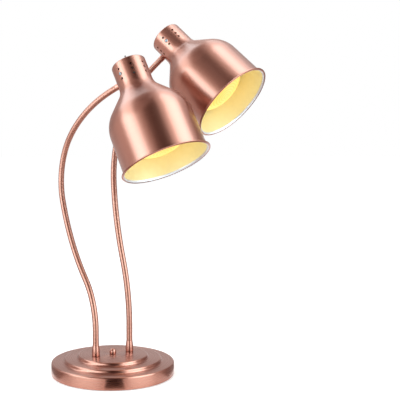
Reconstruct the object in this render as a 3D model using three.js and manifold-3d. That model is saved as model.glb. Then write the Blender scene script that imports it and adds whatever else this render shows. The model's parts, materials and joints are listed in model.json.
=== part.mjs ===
// Food heat lamp with two heads. A weighted base in three tiers carries two goosenecks, and each
// gooseneck carries a bell-shaped shade with a reflector bulb inside it.
// Millimetres, +Z up. The origin is in the middle of the pad's underside, where the lamp stands.

import * as THREE from 'three';
import { mergeVertices } from 'three/addons/utils/BufferGeometryUtils.js';
import Module from 'manifold-3d';

const wasm = await Module();
wasm.setup();

// Clearances and cuts
const seatGap = 0.3; // between two pieces that rest on each other
const holeGap = 0.3; // round a screw, stud or shank in its hole
const overrun = 2; // how far a cut runs past what it cuts

// Base: cover, pad, plate and ballast
const coverRadius = 117.8;
const coverWall = 1.2;
const coverLift = 1.2; // the cover's lower edge clears the table
const ledgeTop = 24.2;
const rimRounding = 3;
const middleShare = 0.794; // of the cover's radius, where the middle tier ends
const middleRadius = coverRadius * middleShare;
const middleTop = 30.8;
const plateauShare = 0.573; // of the cover's radius, where the plateau ends
const plateauRadius = coverRadius * plateauShare;
const plateauTop = 37;
const padInset = 8.8; // from the cover's edge
const padRadius = coverRadius - padInset;
const padThickness = 4;
const plateThickness = 1.5;
const weightInset = 12.6; // from the inside of the cover
const weightRadius = coverRadius - coverWall - weightInset;
const weightThickness = 14;

// Base: fasteners and fittings
const plateScrewInset = 14; // from the weight's edge
const plateScrewCircle = weightRadius - plateScrewInset;
const plateScrewCount = 4;
const plateScrewRadius = 2;
const plateScrewLength = 10;
const plateScrewHeadRadius = 4;
const plateScrewHeadHeight = 2.2;
const tieBoltRadius = 3;
const tieBoltHeadRadius = 5.5;
const tieBoltHeadHeight = 2.6;
const spacerWall = 3;
const capNutRadius = 6.4;
const capNutSkirt = 4;
const capNutCrown = 2; // metal between the blind bore and the top of the dome
const padHoleMargin = 1; // round the screw heads, in the pad's blind pockets
const padSkin = 0.8; // rubber left under each pocket
const terminalLength = 36;
const terminalDepth = 16;
const terminalHeight = 9;
const terminalOffset = 38; // from the middle towards the back
const terminalPoles = 3;
const terminalWireRadius = 2;
const inletHeight = 14.6;
const inletRadius = 5.5;
const inletFlangeRadius = 7.5;
const inletFlange = 2;
const inletBore = 3.6;

// Ferrules at the feet of the goosenecks
const armSpacing = 72.8; // between the two ferrules' axes
const armLineHeading = 30.4; // plan angle of the line through both ferrules, in degrees
const ferruleHeight = 22;
const ferruleFootRadius = 7.5;
const ferruleFootHeight = 10;
const threadRadius = 5; // threaded shank at each end of a gooseneck
const shankLength = 13;
const wireBore = 3.2; // the way through ferrule, gooseneck and upper fitting
const lockNutRadius = 9;
const lockNutThickness = 5;

// Goosenecks. Each stretch is an arc that leaves the last one's end without a kink and ends in
// the direction given by its lean from the vertical and its heading in plan.
const crestRadius = 6;
const rootRadius = 5.3;
const ribPitch = 8.8;
const ribsPerBoreRing = 5;
const tubeSides = 8;
const armLength = 641.6; // of the longer arm, along its centreline from the plateau to the neck
const straightEnd = 12; // straight ribbed run before the upper fitting
const socketAngle = 75; // from the stretch's axis to the rim of its socket, in degrees
const socketMiddleAngle = 50;
const ballMiddleAngle = 60;
const ballNeck = 2.2; // from the ball's middle down to the last rib
const frontArmStretches = [
  { lengthShare: 47 / 641.6, lean: 0, heading: 0 },
  { lengthShare: 105.8 / 641.6, lean: 48.7, heading: 120.8 },
  { lengthShare: 187.2 / 641.6, lean: 25.6, heading: 115.6 },
  { lengthShare: 134.9 / 641.6, lean: 41.2, heading: -53 },
  { lengthShare: 166.7 / 641.6, lean: 63.1, heading: -28.1 },
];
const rearArmStretches = [
  { lengthShare: 50 / 641.6, lean: 0, heading: 0 },
  { lengthShare: 130.4 / 641.6, lean: 19.5, heading: 125.9 },
  { lengthShare: 153.9 / 641.6, lean: 22.2, heading: 98.7 },
  { lengthShare: 151.8 / 641.6, lean: 27.1, heading: 49.9 },
  { lengthShare: 150.1 / 641.6, lean: 45.2, heading: -6.2 },
];

// Shades. Depths are measured along the shade's axis from the flat top of its neck.
const neckRadius = 33.5;
const neckLength = 45;
const neckRounding = 4;
const flareLength = 88; // from the neck's end to the start of the wall
const flareHollowShare = 0.34; // how much of the flare's curve is hollow
const flareTurnShare = 0.46; // at 1 its two arcs meet, and less leaves a straight cone between
const shadeRadius = 80.9;
const shadeRimRadius = 81.7; // of the wall, just above the lip
const shadeLength = 212.6;
const shadeWall = 1.2;
const lipRadius = 87;
const lipCurve = 4;
const lipSweep = 75; // how far the lip turns outwards, in degrees
const lipBead = 1.3;
const armEntryDepth = 30;
const ventColumns = 8;
const ventRows = 3;
const ventDepth = 16; // of the first row
const ventPitch = 10;
const ventRadius = 2;
const frontShadeTilt = 27.7; // of the beam, from straight down, in degrees
const frontShadeHeading = -42.9;
const rearShadeTilt = 48;
const rearShadeHeading = -33;

// Upper fitting, where the gooseneck enters the neck
const collarRadius = 6.3;
const collarLength = 9;
const collarRounding = 1;
const fittingShank = 8.5; // threaded length behind the collar

// Bracket, lampholder and their fasteners
const bracketDepth = 10;
const bracketThickness = 1.5;
const bracketWidth = 14;
const bracketLeg = 24;
const sideScrewRadius = 2;
const sideScrewLength = 8;
const sideScrewHeadRadius = 3.5;
const sideScrewHeadHeight = 2;
const holderRadius = 20.5;
const holderFloor = 9;
const holderLength = 44;
const holderWall = 6;
const shellWall = 0.6;
const shellLength = 23;
const shellSetback = 2; // of the brass shell's mouth behind the porcelain's
const studRadius = 1.6;
const studTip = 17; // above the neck's flat top
const studHeadRadius = 3.2;
const studHeadHeight = 1.2;
const topNutRadius = 4;
const topNutThickness = 3.2;
const contactRise = 6;
const contactWidth = 6;
const contactThickness = 0.6;
const contactRoot = 10; // where the contact strip starts, off the axis
const contactFoot = 5; // where it leaves the floor, off the axis

// Bulb
const bulbRadius = 62.5;
const bulbLength = 165;
const bulbShoulder = 6; // from the cap to the bulb's neck
const bulbDomeShare = 0.297; // of the length in front of the shoulder, from the face to the widest place
const bulbConeShare = 0.547; // of the same length, from the widest place to the neck
const bulbHollowShare = 0.2; // how much of the cone's curve is hollow
const bulbTurnShare = 0.85;
const bulbNeckRadius = 19;
const bulbWall = 1.2;
const bulbSpigot = 6; // the glass reaches this far into the cap
const capRadius = 12.9;
const capLength = 27;
const capWall = 0.7;
const capTaper = 5;
const pipRadius = 5.5;
const pipLength = 4;

// Counts of facets
const coverSides = 32;
const shadeSides = 32;
const bulbSides = 18;
const flareSteps = 3; // along a flare's round arc: its hollow one has one less
const roundSides = 14;
const smallSides = 8;
const hexSides = 6;

// Materials
const copper = { color: 0xb8796a, metalness: 1, roughness: 0.32 };
const brushedCopper = { color: 0xb5786b, metalness: 1, roughness: 0.38 };
const steel = { color: 0xb9bcc0, metalness: 1, roughness: 0.35 };
const darkIron = { color: 0x3c3c3e, metalness: 0.6, roughness: 0.7 };
const rubber = { color: 0x1d1d1e, metalness: 0, roughness: 0.85 };
const porcelain = { color: 0xf1eee6, metalness: 0, roughness: 0.3 };
const brass = { color: 0xc9a45a, metalness: 1, roughness: 0.3 };
const frostedGlass = { color: 0xfff3c4, metalness: 0, roughness: 0.25 };
const polyamide = { color: 0xe4e0d4, metalness: 0, roughness: 0.6 };

const lamp = new THREE.Group();
const radians = THREE.MathUtils.degToRad;

// Solids

function piece(name, geometry, look, parent = lamp) {
  const mesh = new THREE.Mesh(geometry, new THREE.MeshStandardMaterial(look));
  mesh.name = name;
  parent.add(mesh);
  return mesh;
}

// Merges a geometry's shared corners and drops the empty triangles that a pole leaves.
function welded(geometry) {
  const bare = geometry.clone();
  bare.deleteAttribute('normal');
  bare.deleteAttribute('uv');
  const merged = mergeVertices(bare);
  const index = merged.getIndex().array;
  const kept = [];
  for (let i = 0; i < index.length; i += 3) {
    const [a, b, c] = [index[i], index[i + 1], index[i + 2]];
    if (a !== b && b !== c && c !== a) kept.push(a, b, c);
  }
  merged.setIndex(kept);
  return merged;
}

function toSolid(geometry) {
  const closed = welded(geometry);
  return new wasm.Manifold(new wasm.Mesh({
    numProp: 3,
    vertProperties: new Float32Array(closed.getAttribute('position').array),
    triVerts: new Uint32Array(closed.getIndex().array),
  }));
}

function toGeometry(solid) {
  const mesh = solid.getMesh();
  const geometry = new THREE.BufferGeometry();
  geometry.setAttribute('position', new THREE.BufferAttribute(new Float32Array(mesh.vertProperties), 3));
  geometry.setIndex(new THREE.BufferAttribute(new Uint32Array(mesh.triVerts), 1));
  geometry.computeVertexNormals();
  return geometry;
}

function cutFrom(geometry, cutters) {
  const solid = cutters.reduce((rest, cutter) => rest.subtract(toSolid(cutter)), toSolid(geometry));
  return toGeometry(solid);
}

// Turns an outline of [radius, height] points round the Z axis. The outline closes on itself or
// starts and ends on the axis, and may be listed either way round.
function revolve(outline, sides) {
  let area = 0;
  outline.forEach(([r, z], i) => {
    const [nextR, nextZ] = outline[(i + 1) % outline.length];
    area += r * nextZ - nextR * z;
  });
  const onAxis = outline[0][0] === 0;
  const ordered = area > 0 ? [...outline] : [...outline].reverse();
  if (!onAxis) ordered.push(ordered[0]);
  const points = ordered.map(([r, z]) => new THREE.Vector2(r, z));
  return welded(new THREE.LatheGeometry(points, sides).rotateX(Math.PI / 2));
}

// A ring between two radii and two heights.
function tube(outerRadius, innerRadius, low, high, sides) {
  return revolve([[innerRadius, low], [outerRadius, low], [outerRadius, high], [innerRadius, high]], sides);
}

function rod(radius, low, high, sides) {
  return new THREE.CylinderGeometry(radius, radius, high - low, sides)
    .rotateX(Math.PI / 2)
    .translate(0, 0, (low + high) / 2);
}

// The largest circle that fits inside a faceted one, on the flats of its facets.
function acrossFlats(radius, sides) {
  return radius * Math.cos(Math.PI / sides);
}

function onCircle(radius, count, each) {
  return Array.from({ length: count }, (_, i) => {
    const angle = (i + 0.5) * 2 * Math.PI / count;
    return each(radius * Math.cos(angle), radius * Math.sin(angle), i);
  });
}

function hexNut(cornerRadius, boreRadius, low, high) {
  return cutFrom(rod(cornerRadius, low, high, hexSides), [
    rod(boreRadius, low - overrun, high + overrun, roundSides),
  ]);
}

// An arc from one angle to another, in degrees, in the plane of an outline.
function arc([r, z], radius, from, to, steps) {
  return Array.from({ length: steps + 1 }, (_, i) => {
    const angle = radians(from + (to - from) * i / steps);
    return [r + radius * Math.cos(angle), z + radius * Math.sin(angle)];
  });
}

// A smooth S from a narrow radius at `start` to a wide one: a hollow arc, a straight cone and a
// round arc. `inset` moves it towards the axis, for the inside of a wall.
function flare(narrow, wide, start, length, { hollowShare, turnShare }, inset, steps) {
  const rise = wide - narrow;
  const turn = Math.atan2(rise, length) * (1 + turnShare);
  const total = (length * Math.sin(turn) - rise * Math.cos(turn)) / (1 - Math.cos(turn));
  const hollow = total * hollowShare;
  const round = total - hollow;
  const degrees = THREE.MathUtils.radToDeg(turn);
  return [
    ...arc([narrow + hollow, start], hollow + inset, 180, 180 - degrees, steps - 1),
    ...arc([wide - round, start + length], round - inset, -degrees, 0, steps),
  ];
}

// Base

const plateLow = padThickness + seatGap;
const weightLow = plateLow + plateThickness + seatGap;
const weightTop = weightLow + weightThickness;
const plateauUnderside = plateauTop - coverWall;
const armFeet = {
  front: footOf(-armSpacing / 2),
  rear: footOf(armSpacing / 2),
};

function footOf(along) {
  const heading = radians(armLineHeading);
  return new THREE.Vector3(along * Math.cos(heading), along * Math.sin(heading), plateauTop);
}

// Half of the cover's section, from its lower edge over the three tiers to the axis.
function coverOutline(inset, steps) {
  const rounding = (radius) => Math.max(radius - inset, coverWall / 4);
  const step = (radius, low, high) => {
    const bend = (high - low) / 2;
    return [
      ...arc([radius + bend, low + bend], bend + inset, 270, 180, steps),
      ...arc([radius - bend, high - bend], rounding(bend), 0, 90, steps).slice(1),
    ];
  };
  return [
    [coverRadius - inset, coverLift],
    ...arc([coverRadius - rimRounding, ledgeTop - rimRounding], rounding(rimRounding), 0, 90, steps),
    ...step(middleRadius, ledgeTop, middleTop),
    ...step(plateauRadius, middleTop, plateauTop),
    [0, plateauTop - inset],
  ];
}

function buildCover() {
  const outside = coverOutline(0, 2);
  const inside = coverOutline(coverWall, 2).reverse();
  const shell = revolve([...inside, ...outside].reverse(), coverSides);
  const wayIn = rod(inletRadius, coverRadius - rimRounding - coverWall, coverRadius + overrun, roundSides)
    .rotateX(-Math.PI / 2)
    .translate(0, 0, inletHeight);
  const topHole = (radius, { x, y }) => (
    rod(radius, plateauUnderside - overrun, plateauTop + overrun, roundSides).translate(x, y, 0)
  );
  piece('base_cover', cutFrom(shell, [
    wayIn,
    topHole(tieBoltRadius + holeGap, { x: 0, y: 0 }),
    topHole(threadRadius + holeGap, armFeet.front),
    topHole(threadRadius + holeGap, armFeet.rear),
  ]), brushedCopper);
}

// A round plate with a hole in its middle and one for each plate screw. The holes run from
// `holesFrom` upwards.
function disc(radius, low, high, middleHole, screwHole, holesFrom = low - overrun) {
  const screwHoles = onCircle(plateScrewCircle, plateScrewCount, (x, y) => (
    rod(screwHole, holesFrom, high + overrun, smallSides).translate(x, y, 0)
  ));
  const plate = rod(radius, low, high, coverSides);
  return cutFrom(plate, [rod(middleHole, holesFrom, high + overrun, smallSides), ...screwHoles]);
}

function buildBaseStack() {
  const headTop = plateLow - seatGap;
  piece('foot_pad', disc(
    padRadius, 0, padThickness,
    tieBoltHeadRadius + padHoleMargin, plateScrewHeadRadius + padHoleMargin, padSkin,
  ), rubber);
  piece('bottom_plate', disc(
    acrossFlats(coverRadius - coverWall, coverSides) - seatGap, plateLow, plateLow + plateThickness,
    tieBoltRadius + holeGap, plateScrewRadius + holeGap,
  ), steel);
  piece('ballast_weight', disc(
    weightRadius, weightLow, weightTop, tieBoltRadius + holeGap, plateScrewRadius + holeGap,
  ), darkIron);

  onCircle(plateScrewCircle, plateScrewCount, (x, y, i) => piece(`plate_screw_${i + 1}`, revolve([
    [0, headTop - plateScrewHeadHeight],
    [plateScrewHeadRadius, headTop - plateScrewHeadHeight],
    [plateScrewHeadRadius, headTop],
    [plateScrewRadius, headTop],
    [plateScrewRadius, headTop + plateScrewLength],
    [0, headTop + plateScrewLength],
  ], smallSides).translate(x, y, 0), steel));
}

function buildTieBolt() {
  const headTop = plateLow - seatGap;
  const nutLow = plateauTop + seatGap;
  const domeLow = nutLow + capNutSkirt;
  const boltTop = domeLow + capNutRadius - capNutCrown - seatGap;
  const boltBore = tieBoltRadius + holeGap;
  piece('tie_bolt', revolve([
    [0, headTop - tieBoltHeadHeight],
    [tieBoltHeadRadius, headTop - tieBoltHeadHeight],
    [tieBoltHeadRadius, headTop],
    [tieBoltRadius, headTop],
    [tieBoltRadius, boltTop],
    [0, boltTop],
  ], smallSides), steel);
  piece('spacer_sleeve', tube(
    boltBore + spacerWall, boltBore, weightTop + seatGap, plateauUnderside - seatGap, smallSides,
  ), steel);
  piece('cap_nut', revolve([
    [0, boltTop + seatGap],
    [boltBore, boltTop + seatGap],
    [boltBore, nutLow],
    [capNutRadius, nutLow],
    ...arc([0, domeLow], capNutRadius, 0, 90, 4).slice(0, -1),
    [0, domeLow + capNutRadius],
  ], roundSides), copper);
}

function buildInlet() {
  const outsideFace = coverRadius + seatGap;
  const coverInside = acrossFlats(coverRadius - coverWall, coverSides);
  const insideFace = Math.sqrt(coverInside ** 2 - inletFlangeRadius ** 2) - seatGap;
  const neck = inletRadius - holeGap;
  piece('inlet_grommet', revolve([
    [inletBore, insideFace - inletFlange],
    [inletFlangeRadius, insideFace - inletFlange],
    [inletFlangeRadius, insideFace],
    [neck, insideFace],
    [neck, outsideFace],
    [inletFlangeRadius, outsideFace],
    [inletFlangeRadius - inletFlange / 2, outsideFace + inletFlange],
    [inletBore, outsideFace + inletFlange],
  ], roundSides).rotateX(-Math.PI / 2).translate(0, 0, inletHeight), rubber);
}

function buildTerminalBlock() {
  const low = weightTop + seatGap;
  const block = new THREE.BoxGeometry(terminalLength, terminalDepth, terminalHeight)
    .translate(0, terminalOffset, low + terminalHeight / 2);
  const polePitch = terminalLength / terminalPoles;
  const cutters = [];
  for (let i = 0; i < terminalPoles; i += 1) {
    const x = (i - (terminalPoles - 1) / 2) * polePitch;
    cutters.push(
      rod(terminalWireRadius, terminalOffset - terminalDepth, terminalOffset + terminalDepth, smallSides)
        .rotateX(-Math.PI / 2)
        .translate(x, 0, low + terminalHeight / 2),
      rod(terminalWireRadius, low + terminalHeight / 2, low + terminalHeight + overrun, smallSides)
        .translate(x, terminalOffset, 0),
    );
  }
  piece('terminal_block', cutFrom(block, cutters), polyamide);
}

function buildFerrule(side) {
  const { x, y } = armFeet[side];
  const foot = plateauTop + seatGap;
  const top = plateauTop + ferruleHeight;
  piece(`${side}_ferrule`, revolve([
    [wireBore, plateauTop - shankLength],
    [threadRadius, plateauTop - shankLength],
    [threadRadius, foot],
    [ferruleFootRadius, foot],
    [ferruleFootRadius, foot + ferruleFootHeight],
    [(ferruleFootRadius + crestRadius) / 2, (foot + ferruleFootHeight + top) / 2],
    [crestRadius, top],
    [wireBore, top],
  ], roundSides).translate(x, y, 0), copper);
  const nutTop = plateauUnderside - seatGap;
  piece(`${side}_foot_nut`, hexNut(lockNutRadius, threadRadius + holeGap, nutTop - lockNutThickness, nutTop)
    .translate(x, y, 0), brass);
}

// Goosenecks

// Where a stretch's centreline is, `s` along it: a straight run before it, its arc, and a
// straight run after it. It starts at the origin along +Z and bends towards +X.
function onStretch(s, arcLength, bend) {
  const along = THREE.MathUtils.clamp(s, 0, arcLength);
  const angle = bend * along / arcLength;
  const direction = new THREE.Vector3(Math.sin(angle), 0, Math.cos(angle));
  const point = bend === 0
    ? new THREE.Vector3(0, 0, along)
    : new THREE.Vector3(1 - Math.cos(angle), 0, Math.sin(angle)).multiplyScalar(arcLength / bend);
  return { point: point.addScaledVector(direction, s - along), direction };
}

// A ribbed tube with its bore. `rings` go once round its section as [place, radius] pairs.
function ribbedTube(rings, arcLength, bend) {
  const positions = [];
  const index = [];
  const sideways = new THREE.Vector3(0, 1, 0);
  rings.forEach(([s, radius]) => {
    const { point, direction } = onStretch(s, arcLength, bend);
    const across = new THREE.Vector3().crossVectors(sideways, direction);
    for (let k = 0; k < tubeSides; k += 1) {
      const angle = 2 * Math.PI * k / tubeSides;
      const corner = point.clone()
        .addScaledVector(across, radius * Math.cos(angle))
        .addScaledVector(sideways, radius * Math.sin(angle));
      positions.push(corner.x, corner.y, corner.z);
    }
  });
  rings.forEach((_, i) => {
    const here = i * tubeSides;
    const next = ((i + 1) % rings.length) * tubeSides;
    for (let k = 0; k < tubeSides; k += 1) {
      const j = (k + 1) % tubeSides;
      index.push(here + k, here + j, next + j, here + k, next + j, next + k);
    }
  });
  const geometry = new THREE.BufferGeometry();
  geometry.setAttribute('position', new THREE.BufferAttribute(new Float32Array(positions), 3));
  geometry.setIndex(index);
  geometry.computeVertexNormals();
  return geometry;
}

// Each bending place is a ball on the lower stretch in a socket in the upper one, both round the
// same centre. The ball clears the socket's flat facets at every bend.
const socketRadius = crestRadius;
const ballRadius = acrossFlats(socketRadius, tubeSides) - seatGap;

function onBall(radius, degrees) {
  return [radius * Math.cos(radians(degrees)), radius * Math.sin(radians(degrees))];
}

function socketRings(start) {
  const bore = Math.sqrt(socketRadius ** 2 - wireBore ** 2);
  const [middle, middleRadius] = onBall(socketRadius, socketMiddleAngle);
  const [rim, rimRadius] = onBall(socketRadius, socketAngle);
  return [[start + bore, wireBore], [start + middle, middleRadius], [start + rim, rimRadius]];
}

function ballRings(end) {
  const bore = Math.sqrt(ballRadius ** 2 - wireBore ** 2);
  const [middle, middleRadius] = onBall(ballRadius, ballMiddleAngle);
  return [[end, ballRadius], [end + middle, middleRadius], [end + bore, wireBore]];
}

function stretchRings({ start, end, socket, ball }) {
  const first = socket ? socketRings(start) : [[start, wireBore], [start, rootRadius]];
  const last = ball ? ballRings(end) : [[end, wireBore]];
  const ribsFrom = first[first.length - 1][0];
  const ribsTo = ball ? end - ballNeck : end;
  const ribs = Math.max(1, Math.round((ribsTo - ribsFrom) / ribPitch));
  const pitch = (ribsTo - ribsFrom) / ribs;
  const ribRings = [];
  for (let i = 0; i < ribs; i += 1) {
    ribRings.push([ribsFrom + (i + 0.5) * pitch, crestRadius], [ribsFrom + (i + 1) * pitch, rootRadius]);
  }
  const boreRings = [];
  for (let i = ribs - ribsPerBoreRing; i > 0; i -= ribsPerBoreRing) {
    boreRings.push([ribsFrom + i * pitch, wireBore]);
  }
  return [...first, ...ribRings, ...last, ...boreRings];
}

function directionOf(lean, heading) {
  return new THREE.Vector3().setFromSphericalCoords(1, radians(lean), radians(90 - heading))
    .applyMatrix4(new THREE.Matrix4().makeBasis(
      new THREE.Vector3(1, 0, 0), new THREE.Vector3(0, 0, 1), new THREE.Vector3(0, 1, 0),
    ));
}

// Builds one gooseneck from its ferrule to its upper fitting, and gives the place and direction
// in which it meets the neck.
function buildGooseneck(side, stretches) {
  let place = armFeet[side].clone();
  let direction = new THREE.Vector3(0, 0, 1);
  stretches.forEach(({ lengthShare, lean, heading }, i) => {
    const isFirst = i === 0;
    const isLast = i === stretches.length - 1;
    const length = armLength * lengthShare;
    const arcLength = isLast ? length - straightEnd - collarLength : length;
    const next = directionOf(lean, heading);
    const bend = isFirst ? 0 : direction.angleTo(next);
    const across = isFirst
      ? new THREE.Vector3(1, 0, 0)
      : next.clone().addScaledVector(direction, -direction.dot(next)).normalize();
    const rings = stretchRings({
      start: isFirst ? ferruleHeight + seatGap : 0,
      end: isLast ? length - collarLength - seatGap : length,
      socket: !isFirst,
      ball: !isLast,
    });
    const frame = new THREE.Matrix4().makeBasis(
      across, new THREE.Vector3().crossVectors(direction, across), direction,
    ).setPosition(place);
    const mesh = piece(`${side}_gooseneck_${i + 1}`, ribbedTube(rings, arcLength, bend), copper);
    mesh.position.copy(place);
    mesh.quaternion.setFromRotationMatrix(frame);
    place = onStretch(length, arcLength, bend).point.applyMatrix4(frame);
    direction = next;
  });
  return { place, direction };
}

// Heads, each in its own group: +Z along the beam from the neck's flat top, +X towards the arm

const holderBack = bracketDepth + bracketThickness + seatGap;
const holderFace = holderBack + holderLength;
const cavityDepth = holderBack + holderFloor;
const bulbBack = cavityDepth + contactRise + seatGap; // depth of the bulb's centre contact
const bulbFace = bulbBack + bulbLength;
const sideScrewDepth = ventDepth + ventPitch;
const neckBore = neckRadius - shadeWall;
const neckInside = acrossFlats(neckBore, shadeSides);
const neckFlat = acrossFlats(neckRadius, shadeSides);
const quarterTurn = Math.PI / 2;
const ventTurn = 2 * Math.PI / shadeSides; // the columns stand one facet on, so that they clear the arm
const shadeFlare = { hollowShare: flareHollowShare, turnShare: flareTurnShare };

function shadeOutline(inset, cornerSteps) {
  const corner = Math.max(neckRounding - inset, shadeWall / 4);
  const lipStart = shadeLength - lipCurve;
  const lip = arc([shadeRimRadius + lipCurve, lipStart], lipCurve + inset, 180, 180 - lipSweep, 2);
  return [
    [0, inset],
    ...arc([neckRadius - neckRounding, neckRounding], corner, -90, 0, cornerSteps),
    ...flare(neckRadius, shadeRadius, neckLength, flareLength, shadeFlare, inset, flareSteps),
    ...lip,
  ];
}

function buildShade(side, head) {
  const outside = shadeOutline(0, 2);
  const inside = shadeOutline(shadeWall, 1);
  const bead = arc([lipRadius - lipBead, shadeLength - lipBead], lipBead, -90, 90, 2);
  const shell = revolve([...outside, ...bead, ...inside.reverse()], shadeSides)
    .rotateZ(Math.PI / shadeSides);

  // Vents run round the neck in columns. The arm takes one column's place, and a screw takes the
  // middle vent of the two columns a quarter turn on from there.
  const radialCut = (radius, depth, angle, sides) => (
    rod(radius, neckBore - overrun, neckRadius + overrun, sides)
      .rotateY(quarterTurn)
      .rotateZ(angle)
      .translate(0, 0, depth)
  );
  const cutters = [
    rod(studRadius + holeGap, -overrun, shadeWall + overrun, smallSides),
    radialCut(threadRadius + holeGap, armEntryDepth, 0, roundSides),
  ];
  for (let column = 1; column < ventColumns; column += 1) {
    const angle = column * 2 * Math.PI / ventColumns + ventTurn;
    for (let row = 0; row < ventRows; row += 1) {
      const depth = ventDepth + row * ventPitch;
      const isScrew = row === 1 && column * 4 % ventColumns === 0 && column * 2 !== ventColumns;
      const radius = isScrew ? sideScrewRadius + holeGap : ventRadius;
      cutters.push(radialCut(radius, depth, angle, isScrew ? smallSides : hexSides));
    }
  }
  piece(`${side}_shade`, cutFrom(shell, cutters), brushedCopper, head);
}

function buildUpperFitting(side, head) {
  const wallFace = neckFlat + seatGap;
  const end = neckRadius + collarLength;
  piece(`${side}_arm_collar`, revolve([
    [wireBore, neckRadius - fittingShank],
    [threadRadius, neckRadius - fittingShank],
    [threadRadius, wallFace],
    [collarRadius, wallFace],
    [collarRadius, end - collarRounding],
    [collarRadius - collarRounding, end],
    [wireBore, end],
  ], roundSides).rotateY(quarterTurn).translate(0, 0, armEntryDepth), copper, head);

  const nutFace = Math.sqrt(neckInside ** 2 - lockNutRadius ** 2) - seatGap;
  piece(`${side}_arm_nut`, hexNut(lockNutRadius, threadRadius + holeGap, nutFace - lockNutThickness, nutFace)
    .rotateY(quarterTurn).translate(0, 0, armEntryDepth), brass, head);
}

// A U-shaped strap across the neck. A screw through the neck holds each of its legs, and the
// lampholder hangs from its web.
function buildBracket(side, head) {
  const reach = Math.sqrt(neckInside ** 2 - (bracketWidth / 2) ** 2) - seatGap;
  const strap = new THREE.Shape([
    [-reach, bracketDepth], [reach, bracketDepth], [reach, bracketDepth + bracketLeg],
    [reach - bracketThickness, bracketDepth + bracketLeg],
    [reach - bracketThickness, bracketDepth + bracketThickness],
    [bracketThickness - reach, bracketDepth + bracketThickness],
    [bracketThickness - reach, bracketDepth + bracketLeg], [-reach, bracketDepth + bracketLeg],
  ].map(([y, z]) => new THREE.Vector2(y, z)));
  const web = new THREE.ExtrudeGeometry(strap, { depth: bracketWidth, bevelEnabled: false })
    .translate(0, 0, -bracketWidth / 2)
    .rotateX(quarterTurn)
    .rotateZ(quarterTurn + ventTurn);
  const legHoles = rod(sideScrewRadius + holeGap, -neckRadius, neckRadius, smallSides)
    .rotateX(quarterTurn)
    .rotateZ(ventTurn)
    .translate(0, 0, sideScrewDepth);
  const webFar = bracketDepth + bracketThickness;
  const studHole = rod(studRadius + holeGap, bracketDepth - overrun, webFar + overrun, smallSides);
  piece(`${side}_holder_bracket`, cutFrom(web, [legHoles, studHole]), steel, head);

  const screwSeat = neckFlat + seatGap;
  const screw = revolve([
    [0, screwSeat - sideScrewLength],
    [sideScrewRadius, screwSeat - sideScrewLength],
    [sideScrewRadius, screwSeat],
    [sideScrewHeadRadius, screwSeat],
    [sideScrewHeadRadius * Math.cos(quarterTurn / 2), screwSeat + sideScrewHeadHeight],
    [0, screwSeat + sideScrewHeadHeight],
  ], smallSides).rotateX(quarterTurn).rotateZ(ventTurn).translate(0, 0, sideScrewDepth);
  piece(`${side}_neck_screw_near`, screw, steel, head);
  piece(`${side}_neck_screw_far`, screw.clone().rotateZ(Math.PI), steel, head);
}

function buildLampholder(side, head) {
  const boreRadius = holderRadius - holderWall;
  piece(`${side}_lampholder`, revolve([
    [studRadius + holeGap, holderBack],
    [holderRadius, holderBack],
    [holderRadius, holderFace],
    [boreRadius, holderFace],
    [boreRadius, cavityDepth],
    [studRadius + holeGap, cavityDepth],
  ], bulbSides), porcelain, head);

  const shellOuter = acrossFlats(boreRadius, bulbSides) - seatGap;
  const shellMouth = holderFace - shellSetback;
  piece(`${side}_screw_shell`, tube(
    shellOuter, shellOuter - shellWall, shellMouth - shellLength, shellMouth, bulbSides,
  ), brass, head);

  const low = cavityDepth + seatGap;
  const high = cavityDepth + contactRise;
  const strip = new THREE.Shape([
    [-contactRoot, low], [-contactFoot, low], [contactThickness, high - contactThickness],
    [contactThickness, high], [-contactThickness, high],
    [-contactFoot - contactThickness, low + contactThickness], [-contactRoot, low + contactThickness],
  ].map(([x, z]) => new THREE.Vector2(x, z)));
  piece(`${side}_centre_contact`, welded(
    new THREE.ExtrudeGeometry(strip, { depth: contactWidth, bevelEnabled: false })
      .translate(0, 0, -contactWidth / 2)
      .rotateX(quarterTurn),
  ), brass, head);

  const headLow = cavityDepth + seatGap;
  piece(`${side}_top_stud`, revolve([
    [0, -studTip],
    [studRadius, -studTip],
    [studRadius, headLow],
    [studHeadRadius, headLow],
    [studHeadRadius, headLow + studHeadHeight],
    [0, headLow + studHeadHeight],
  ], smallSides), steel, head);
  piece(`${side}_top_nut`, hexNut(
    topNutRadius, studRadius + holeGap, -topNutThickness - seatGap, -seatGap,
  ), steel, head);
}

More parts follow.
